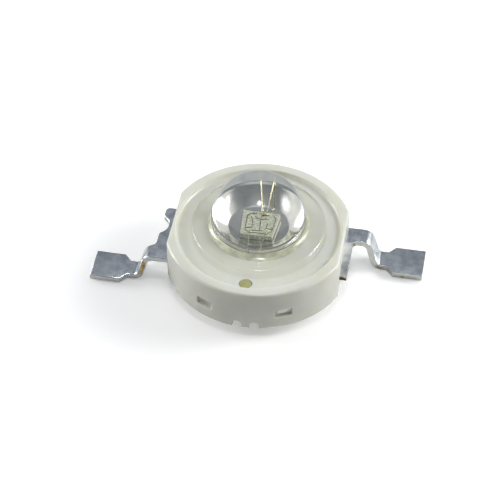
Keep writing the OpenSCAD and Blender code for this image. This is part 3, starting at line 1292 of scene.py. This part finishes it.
@dataclass
class Lead:
    """One stamped lead: bond finger, plate, gull-wing bends and solder tab."""

    polarity: Polarity
    thickness: float = SHARED.lead_t
    plane: float = SHARED.lead_low
    tab_lift: float = 0.05
    tip_x: float = 7.05
    tab_x: float = 5.77
    taper_x: float = 5.47
    foot_l: float = 0.23
    bend_r: float = 0.36
    bend_angle: float = 74.0
    bend_steps: int = 12
    neck_mid: float = 1.22
    root_w: float = 0.7
    neck_w: float = 0.83
    tab_w: float = 1.5
    flat_x: float = SHARED.flat_x
    root_x: float = 1.95
    # The cathode's arm: its width past the flat, its end, and where its scuff starts
    arm_w: float = 0.3
    arm_end: float = 1.27
    arm_start: float = 0.72
    corner_r: float = 0.2
    # The anode's shoulder and the half-round notch in its side, between two lips
    shoulder_w: float = 0.66
    shoulder_end: float = 1.46
    notch_r: float = 0.56
    notch_out: float = 0.25
    notch_y: float = 0.4
    lip_r: float = 0.16
    # The bond finger: an arc round the slug's column, by radius and angle
    finger_in: float = 1.62
    finger_out: float = 2.2
    finger_start: float = -38.0
    finger_end: float = 104.0
    edge: float = 0.055
    turn: float = field(init=False)
    slope_l: float = field(init=False)
    bend_l: float = field(init=False)
    bend_x: float = field(init=False)
    bend_run: float = field(init=False)

    def __post_init__(self) -> None:
        """Works out where the bends start and how far they reach."""
        self.turn = math.radians(self.bend_angle)
        drop = self.plane - self.tab_lift
        self.slope_l = (drop - 2 * self.bend_r * (1 - math.cos(self.turn))) / math.sin(self.turn)
        self.bend_run = 2 * self.bend_r * math.sin(self.turn) + self.slope_l * math.cos(self.turn)
        self.bend_l = self.bend_r * self.turn
        self.bend_x = self.taper_x - self.foot_l - self.bend_run

    def finger(self) -> list[Point2]:
        """Gives the outline of the arc-shaped finger, from the plate round and back.

        Returns:
            Points in the plane of the flat strip, in millimetres.
        """
        middle = (self.finger_in + self.finger_out) / 2
        end = math.radians(self.finger_end)
        tip = (middle * math.cos(end), middle * math.sin(end))
        half = (self.finger_out - self.finger_in) / 2
        start_out = math.degrees(math.asin((self.neck_mid + self.root_w / 2) / self.finger_out))
        return [
            *arc((0, 0), self.finger_out, start_out, self.finger_end, 16)[:-1],
            *arc(tip, half, self.finger_end, self.finger_end + 180, 10),
            *arc((0, 0), self.finger_in, self.finger_end, self.finger_start, 24)[1:],
            arc((0, 0), self.finger_out, self.finger_start, self.finger_end, 1)[0],
        ]

    def outline(self) -> list[Point2]:
        """Gives the outline of the flat strip, counter-clockwise from the plate.

        Returns:
            Points in the plane of the flat strip, in millimetres.
        """
        widths = (self.root_w, self.neck_w, self.tab_w)
        root_in, neck_in, tab_in = (self.neck_mid - w / 2 for w in widths)
        neck_out, tab_out = self.neck_mid + self.neck_w / 2, self.neck_mid + self.tab_w / 2
        # Laid flat, the strip is longer by what the bends take up.
        extra = 2 * self.bend_l + self.slope_l - self.bend_run
        taper, tab, tip = (x + extra for x in (self.taper_x, self.tab_x, self.tip_x))
        if self.polarity is Polarity.CATHODE:
            edge, end = self.flat_x + self.arm_w, self.arm_end
            side = [(edge, -end)]
        else:
            edge, end = self.flat_x + self.shoulder_w, self.shoulder_end
            side = self.notched_side(edge)
        hollow = (edge + self.corner_r, root_in - self.corner_r)
        return [
            (self.root_x, -end),
            *side,
            *arc(hollow, self.corner_r, 180, 90, 8),
            (taper, neck_in), (tab, tab_in), (tip, tab_in),
            (tip, tab_out), (tab, tab_out), (taper, neck_out),
            *self.finger(),
        ]

    def notched_side(self, edge: float) -> list[Point2]:
        """Gives the anode shoulder's side: a round corner, then the notch between its lips.

        Args:
            edge: Where the side is along X, in millimetres.

        Returns:
            Points in the plane of the flat strip, in millimetres.
        """
        reach = self.notch_out + self.lip_r
        lip_y = math.sqrt((self.notch_r + self.lip_r) ** 2 - reach**2)
        turn = math.degrees(math.atan2(lip_y, reach))
        lip_x = edge - self.lip_r
        corner = (edge - self.corner_r, self.corner_r - self.shoulder_end)
        notch = (edge + self.notch_out, -self.notch_y)
        return [
            *arc(corner, self.corner_r, -90, 0, 8),
            *arc((lip_x, -self.notch_y - lip_y), self.lip_r, 0, turn, 8),
            *arc(notch, self.notch_r, 180 + turn, 180 - turn, 20)[1:],
            *arc((lip_x, lip_y - self.notch_y), self.lip_r, -turn, 0, 8)[1:],
        ]

    def bent(self, s: float, height: float) -> Point2:
        """Maps a point of the flat strip to its place in the bent one.

        Args:
            s: Distance along the flat strip in millimetres.
            height: Distance above the strip's middle plane in millimetres.

        Returns:
            X and Z in millimetres.
        """
        high, low = (level + self.thickness / 2 for level in (self.plane, self.tab_lift))
        end_x = self.bend_x + self.bend_run
        s -= self.bend_x
        if s <= 0:
            return self.bend_x + s, high + height
        if s <= self.bend_l:
            reach, a = self.bend_r + height, s / self.bend_r
            return self.bend_x + reach * math.sin(a), high - self.bend_r + reach * math.cos(a)
        s -= self.bend_l
        sin, cos = math.sin(self.turn), math.cos(self.turn)
        if s <= self.slope_l:
            reach = self.bend_r + height
            return self.bend_x + reach * sin + s * cos, high - self.bend_r + reach * cos - s * sin
        s -= self.slope_l
        if s <= self.bend_l:
            reach, a = self.bend_r - height, self.turn - s / self.bend_r
            return end_x - reach * math.sin(a), low + self.bend_r - reach * math.cos(a)
        return end_x + s - self.bend_l, low + height

    def slot_of(self, face: BMFace, middle: Vector) -> StripFace:
        """Tells the sheared sides and the top of the cathode's arm from the rest.

        Args:
            face: The face.
            middle: Its middle in millimetres.

        Returns:
            The number of its slot.
        """
        in_arm = middle.x < self.flat_x + self.arm_w and middle.y < self.arm_start
        if self.polarity is Polarity.CATHODE and face.normal.z > 0.5 and in_arm:
            return StripFace.SCUFFED
        return StripFace.TORN if abs(face.normal.z) < 0.5 else StripFace.PLATED

    def build(self, tin: Material, sheared: Material, scuffed: Material) -> Object:
        """Builds the lead.

        Args:
            tin: The plating of its faces.
            sheared: The finish of its sheared edges.
            scuffed: The plating of the cathode's arm, which rubs in the feeder.

        Returns:
            The lead.
        """
        half = self.thickness / 2
        bm = extrude_outline(self.outline(), -half, half)
        if self.polarity is Polarity.CATHODE:
            slice_mesh(bm, (self.flat_x + self.arm_w, 0, 0), (1, 0, 0))
            slice_mesh(bm, (0, self.arm_start, 0), (0, 1, 0))
        paint(bm, self.slot_of)
        round_edges(bm, self.edge, 3, lambda e: abs(e.verts[0].co.z - e.verts[1].co.z) < WELD)
        # The punch rolls the plating over the edge before it shears it.
        for face in bm.faces:
            if 0.1 < abs(face.normal.z) < 0.99:
                face.material_index = StripFace.PLATED
        for start in (self.bend_x, self.bend_x + self.bend_l + self.slope_l):
            for i in range(self.bend_steps + 1):
                slice_mesh(bm, (start + self.bend_l * i / self.bend_steps, 0, 0), (1, 0, 0))
        for vert in bm.verts:
            x, z = self.bent(vert.co.x / MM, vert.co.z / MM)
            vert.co.x, vert.co.z = x * MM, z * MM
        move(bm, turned(self.polarity.value))
        bmesh.ops.triangulate(bm, faces=[f for f in bm.faces if len(f.verts) > 4])
        name = self.polarity.name.lower() + "_lead"
        return fit_out(new_object("bent_" + name, bm), [tin, sheared, scuffed], name)


@dataclass
class TieBars:
    """The four cut ends of the lead frame in the pockets of the wall."""

    outer_r: float = 3.92
    length: float = 0.5
    width: float = 0.5
    low: float = SHARED.lead_low
    thickness: float = SHARED.lead_t
    edge: float = 0.03
    places: tuple[str, ...] = ("front_left", "front_right", "back_right", "back_left")
    angles: tuple[float, ...] = SHARED.pocket_angles

    def build(self, tin: Material, snapped: Material) -> list[Object]:
        """Builds the four ends.

        Args:
            tin: The plating of their faces.
            snapped: The finish of the faces where they were snapped off.

        Returns:
            The four ends.
        """
        ends = []
        for place, angle in zip(self.places, self.angles):
            centre = (self.outer_r - self.length / 2, 0, self.low + self.thickness / 2)
            bm = box_mesh((self.length, self.width, self.thickness), centre)
            paint(bm, lambda face, _: StripFace.TORN if face.normal.x > 0.5 else StripFace.PLATED)
            round_edges(bm, self.edge, 2)
            obj = new_object("cut_tie_bar_" + place, move(bm, turned(angle)))
            ends.append(fit_out(obj, [tin, snapped], "tie_bar_" + place))
        return ends


@dataclass
class BondWires:
    """The gold bond wires: ball on the die, loop over the lip, stitch on the finger."""

    wire_r: float = 0.015
    die_top: float = SHARED.die_top
    lead_top: float = SHARED.lead_top
    ball_r: float = 0.044
    ball_h: float = 0.03
    stitch_r: float = 0.045
    stitch_flat: float = 0.2
    stitch_lift: float = 0.008
    # The loop: radius of its bends, height, and where it starts to fall
    loop_r: float = 0.07
    loop_z: float = SHARED.cup_mouth + 0.08
    loop_end: float = 1.42
    landing_r: float = 1.8
    # Each wire's name, its ball's place on the die and the angle at which it lands
    places: tuple[tuple[str, Point2, float], ...] = (
        ("back_left", (0.053, 0.42), 99.5),
        ("back_right", (0.159, 0.42), 86.8),
        ("front_left", (-0.21, -0.385), -94.8),
        ("front_right", (0.29, -0.385), -80.2),
    )

    def path(self, reach: float, shoulder: float) -> list[Point2]:
        """Gives a wire's path in its own upright plane.

        Args:
            reach: Distance from the ball to the stitch.
            shoulder: Distance at which the wire starts to fall.

        Returns:
            Points of distance and height, in millimetres.
        """
        ground = self.lead_top + self.wire_r
        landing = reach - self.stitch_r
        run, drop = landing - shoulder, self.loop_z - ground
        slant = math.hypot(run, drop - 2 * self.loop_r)
        steep = math.degrees(
            math.atan2(drop - 2 * self.loop_r, run) + math.asin(2 * self.loop_r / slant)
        )
        low = self.loop_z - self.loop_r
        return [
            (0.0, self.die_top + self.ball_h / 2),
            *arc((self.loop_r, low), self.loop_r, 180, 90, 12),
            *arc((shoulder, low), self.loop_r, 90, 90 - steep, 12),
            *arc((landing, ground + self.loop_r), self.loop_r, 270 - steep, 270, 12),
            (reach, ground),
        ]

    def bead(self, spot: Vector, height: float, radius: float, flat: float, rings: int) -> BMesh:
        """Makes one flattened ball of gold.

        Args:
            spot: Where it is on the plan, in millimetres.
            height: Height of its middle in millimetres.
            radius: Its radius in millimetres.
            flat: Its height as a share of its width.
            rings: Rings of faces from pole to pole.

        Returns:
            The ball.
        """
        bm = bmesh.new()
        bmesh.ops.create_uvsphere(
            bm, u_segments=24, v_segments=rings, radius=radius * MM,
            matrix=at(spot.x, spot.y, height) @ Matrix.Diagonal((1, 1, flat, 1)),
        )
        return bm

    def build(self, gold: Material) -> list[Object]:
        """Builds the wires.

        Args:
            gold: The drawn gold.

        Returns:
            The four wires.
        """
        wires = []
        ball_z, ball_flat = self.die_top + self.ball_h / 2, 0.8 * self.ball_h / self.ball_r
        for place, start, angle in self.places:
            foot = Vector((*start, 0))
            tip = turned(angle) @ Vector((self.landing_r, 0, 0))
            along = tip - foot
            reach = along.length
            shoulder = reach * (self.loop_end - abs(start[1])) / abs(along.y)
            points = self.path(reach, shoulder)
            path = [foot + along / reach * s + Vector((0, 0, z)) for s, z in points]
            stitch_z = self.lead_top + self.stitch_lift
            obj = new_object("gold_wire_" + place, join([
                tube_mesh(path, self.wire_r, 16),
                self.bead(foot, ball_z, self.ball_r, ball_flat, 12),
                self.bead(tip, stitch_z, self.stitch_r, self.stitch_flat, 8),
            ]))
            wires.append(fit_out(obj, [gold], "bond_wire_" + place, sharp=60))
        return wires


# ---------------------------------------------------------------- studio


@dataclass
class Studio:
    """The pale floor, the soft lamps, the sky they stand in and the camera."""

    # Where the camera stands, in degrees, and how far away, in millimetres
    azimuth: float = 10.165
    elevation: float = 45.92
    distance: float = 82.34
    # How far right of and above the picture's middle the axis falls, and at what height
    aim_right: float = 0.374
    aim_up: float = -0.554
    aim_z: float = 0.34
    # Focal length in the photograph's pixels, and width of the sensor
    focal_px: float = 1900.7
    sensor: float = 36.0
    # What mirrors see before and behind the object, by the sine of the elevation
    front_sky: tuple[tuple[float, str], ...] = (
        (0.0, "#6A6D71"), (0.9, "#8C9094"), (0.95, "#A4A8AD"), (0.985, "#D6DAE0"),
    )
    back_sky: tuple[tuple[float, str], ...] = (
        (0.2, "#7D8185"), (0.62, "#90949A"), (0.78, "#9DA1A7"), (0.95, "#AEB3B9"),
        (0.985, "#E2E6EC"),
    )
    # What dull faces gather from before and from behind
    fill_front: str = "#2C2D2F"
    fill_back: str = "#BAC0C8"
    white: str = "#FFFFFF"
    sheet: str = "#F4F4F3"
    table: str = "#7C7E80"
    # The floor's half side, its own glow, and where its white sheet ends
    floor_half: float = 600.0
    floor_glow: float = 0.3
    sheet_near: float = 5.0
    sheet_far: float = 14.0
    # Name, place and size in millimetres, and power in watts of each softbox
    softboxes: tuple[tuple[str, Point3, Point2, float], ...] = (
        ("overhead_softbox", (6.9, -21.8, 138), (42, 42), 0.031),
        ("left_softbox", (-125, 21, 35), (110, 64), 0.095),
        ("right_softbox", (106, 39, 65), (130, 80), 0.118),
    )
    # An oval lamp that fades towards its edge gives a sixth of an even one's light
    fade_loss: float = 6.0

    def axes(self) -> tuple[Vector, Vector]:
        """Gives the level directions to the camera's right and away from it."""
        turn = math.radians(self.azimuth)
        right = Vector((math.cos(turn), math.sin(turn), 0))
        return right, Vector((-right.y, right.x, 0))

    def camera(self) -> None:
        """Sets the camera where the photograph was taken from."""
        data = bpy.data.cameras.new("studio_camera")
        data.sensor_width = self.sensor
        data.lens = self.sensor * self.focal_px / PHOTO_WIDTH
        data.clip_start = 0.002
        data.clip_end = 10
        camera = bpy.data.objects.new("studio_camera", data)
        bpy.context.scene.collection.objects.link(camera)
        tilt = math.radians(self.elevation)
        right, away = self.axes()
        ahead = away * math.cos(tilt) - Vector((0, 0, math.sin(tilt)))
        up = right.cross(ahead)
        place = (-self.aim_right * right - self.aim_up * up - self.distance * ahead) * MM
        place.z += self.aim_z * MM
        axes = Matrix((right, up, -ahead)).transposed().to_4x4()
        camera.matrix_world = Matrix.Translation(place) @ axes
        bpy.context.scene.camera = camera

    def floor(self) -> None:
        """Lays a white floor that keeps the object's shadow."""
        bm = bmesh.new()
        bmesh.ops.create_grid(bm, x_segments=1, y_segments=1, size=self.floor_half * MM)
        obj = new_object("pale_floor", bm)
        # Matt white board: an even, shadow-keeping white without gloss.
        material = bpy.data.materials.new("matt_white_board")
        nodes = Nodes(material)
        # The sheet ends before and behind the object, on a grey table that only light meets.
        place = nodes.add("TexCoord").outputs["Object"]
        away = nodes.add("VectorMath", {0: place, 1: self.axes()[1]}, operation="DOT_PRODUCT")
        apart = nodes.add("Math", {0: away}, operation="ABSOLUTE")
        off_sheet = nodes.add("MapRange", {
            "Value": apart, "From Min": self.sheet_near * MM, "From Max": self.sheet_far * MM,
        })
        colour = nodes.add(
            "Mix", {"Factor": off_sheet, MIX_A: self.sheet, MIX_B: self.table}, data_type="RGBA"
        )
        table = nodes.add("BsdfDiffuse", {"Color": colour})
        board = nodes.add("BsdfDiffuse", {"Color": self.sheet})
        glow = nodes.add("Emission", {"Color": self.white, "Strength": self.floor_glow})
        lit = nodes.add("AddShader", {0: board, 1: glow})
        camera_ray = nodes.add("LightPath").outputs["Is Camera Ray"]
        seen = nodes.add("MixShader", {0: camera_ray, 1: table, 2: lit})
        nodes.add("OutputMaterial", {"Surface": seen})
        obj.data.materials.append(material)

    def sky(self) -> None:
        """Sets the surroundings: a dark room with white walls, and a pale fill for dull faces."""
        world = bpy.data.worlds.new("studio_world")
        bpy.context.scene.world = world
        nodes = Nodes(world)
        facing = nodes.add("TexCoord").outputs["Generated"]
        to_side, ahead, height = (
            nodes.add("VectorMath", {0: facing, 1: axis}, operation="DOT_PRODUCT")
            for axis in (*self.axes(), (0, 0, 1))
        )
        sideways = nodes.add("Math", {0: to_side}, operation="ABSOLUTE")
        behind = nodes.add("MapRange", {"Value": ahead, "From Min": -0.3, "From Max": 0.7})
        # What mirrors show: a dark room whose ceiling pales overhead, between white walls.
        shades = []
        for stops in (self.front_sky, self.back_sky):
            shades.append(nodes.add("ValToRGB", {"Fac": height}))
            elements = shades[-1].color_ramp.elements
            for index, (level, colour) in enumerate(stops):
                stop = elements[index] if index < 2 else elements.new(level)
                stop.position, stop.color = level, linear(colour)
        wall = nodes.add(
            "MapRange", {"Value": sideways, "From Min": 0.5, "From Max": 0.76},
            interpolation_type="SMOOTHSTEP",
        )
        # What dull faces gather: an even fill, paler to the sides and behind.
        side = nodes.add(
            "MapRange", {"Value": sideways, "From Min": 0.3, "From Max": 0.9, "To Max": 0.35}
        )
        looks = []
        for front, back, white_share in ((*shades, wall), (self.fill_front, self.fill_back, side)):
            room = nodes.add("Mix", {"Factor": behind, MIX_A: front, MIX_B: back}, data_type="RGBA")
            whole = nodes.add(
                "Mix", {"Factor": white_share, MIX_A: room, MIX_B: self.white}, data_type="RGBA"
            )
            looks.append(nodes.add("Background", {"Color": whole}))
        path = nodes.add("LightPath")
        gloss = nodes.add(
            "Math", {0: path.outputs["Is Glossy Ray"], 1: path.outputs["Is Transmission Ray"]},
            operation="MAXIMUM",
        )
        # Light that a dull surface gathers through the lens stays the soft fill.
        direct = nodes.add(
            "Math", {0: path.outputs["Diffuse Depth"], 1: 0.5}, operation="LESS_THAN"
        )
        sharp = nodes.add("Math", {0: gloss, 1: direct}, operation="MULTIPLY")
        mirror = nodes.add("MixShader", {0: sharp, 1: looks[1], 2: looks[0]})
        backdrop = nodes.add("Background", {"Color": self.white})
        seen = nodes.add("MixShader", {0: path.outputs["Is Camera Ray"], 1: mirror, 2: backdrop})
        nodes.add("OutputWorld", {"Surface": seen})

    def lamp(self, name: str, place: Point3, size: Point2, power: float) -> Object:
        """Hangs one oval softbox that faces the object and fades towards its edge.

        Args:
            name: The lamp's name.
            place: Where it hangs, in millimetres.
            size: Its width and height in millimetres.
            power: Its power in watts.

        Returns:
            The lamp.
        """
        data = bpy.data.lights.new(name, "AREA")
        data.shape = "ELLIPSE"
        data.size, data.size_y = (s * MM for s in size)
        data.energy = power * self.fade_loss
        nodes = Nodes(data)
        across = nodes.add("NewGeometry").outputs["Parametric"]
        centred = nodes.add(
            "VectorMath", {0: across, 1: (2, 2, 0), 2: (-1, -1, 0)}, operation="MULTIPLY_ADD"
        )
        fade = nodes.add("TexGradient", {"Vector": centred}, gradient_type="QUADRATIC_SPHERE")
        cloth = nodes.add("Emission", {"Strength": fade.outputs["Fac"]})
        nodes.add("OutputLight", {"Surface": cloth})
        lamp = bpy.data.objects.new(name, data)
        bpy.context.scene.collection.objects.link(lamp)
        lamp.location = Vector(place) * MM
        lamp.rotation_euler = (-lamp.location).to_track_quat("-Z", "Y").to_euler()
        return lamp

    def build(self) -> None:
        """Builds the studio."""
        self.camera()
        self.floor()
        self.sky()
        lamps = [self.lamp(*softbox) for softbox in self.softboxes]
        # The overhead softbox would show as a bright spot through the lens.
        lamps[0].visible_transmission = False
        bpy.context.scene.view_settings.view_transform = "Standard"


def dress_cad_nodes(finishes: dict[str, Material]) -> None:
    """Gives the CAD nodes that keep their own shape a finished surface.

    Args:
        finishes: The material for each node, by the node's name.
    """
    for node, finish in finishes.items():
        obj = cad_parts[node]
        obj.data.materials.clear()
        obj.data.materials.append(finish)
        log.info("%s: keeps its own mesh", node)


def main() -> None:
    """Builds every piece in order."""
    logging.basicConfig(level=logging.INFO, format="%(name)s: %(message)s")
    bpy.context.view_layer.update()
    Studio().build()
    tin, scuffed, wetted = TIN_PLATE.build(), SCUFFED_TIN.build(), WettedInterface().build()
    HeatSlug().build(SILVER_PLATE.build())
    Housing().build(MouldedPolyamide().build())
    # The filling carries painted light along the lens's taper, and painted reflections on its floor
    # and behind the cup's lip.
    Filling().build(
        wetted, CuredSilicone().build(), PAINTED_LIGHT_VEIL.build(), PaintedReflectionFilm().build(),
        PAINTED_REFLECTION_HAZE.build(),
    )
    Lens().build(CLEAR_POLYCARBONATE.build(), SILICONE_INTERFACE.build(), wetted)
    for polarity, edge in ((Polarity.CATHODE, CATHODE_EDGE), (Polarity.ANODE, ANODE_EDGE)):
        Lead(polarity).build(tin, edge.build(), scuffed)
    TieBars().build(tin, SNAPPED_TIN.build())
    BondWires().build(GOLD_WIRE.build())
    film = GOLD_FILM.build()
    dress_cad_nodes({
        "die_attach": ATTACH_EPOXY.build(),
        "led_die": SawnDie().build(),
        "anode_electrode": film,
        "cathode_electrode": film,
    })


if __name__ == "__main__":
    main()
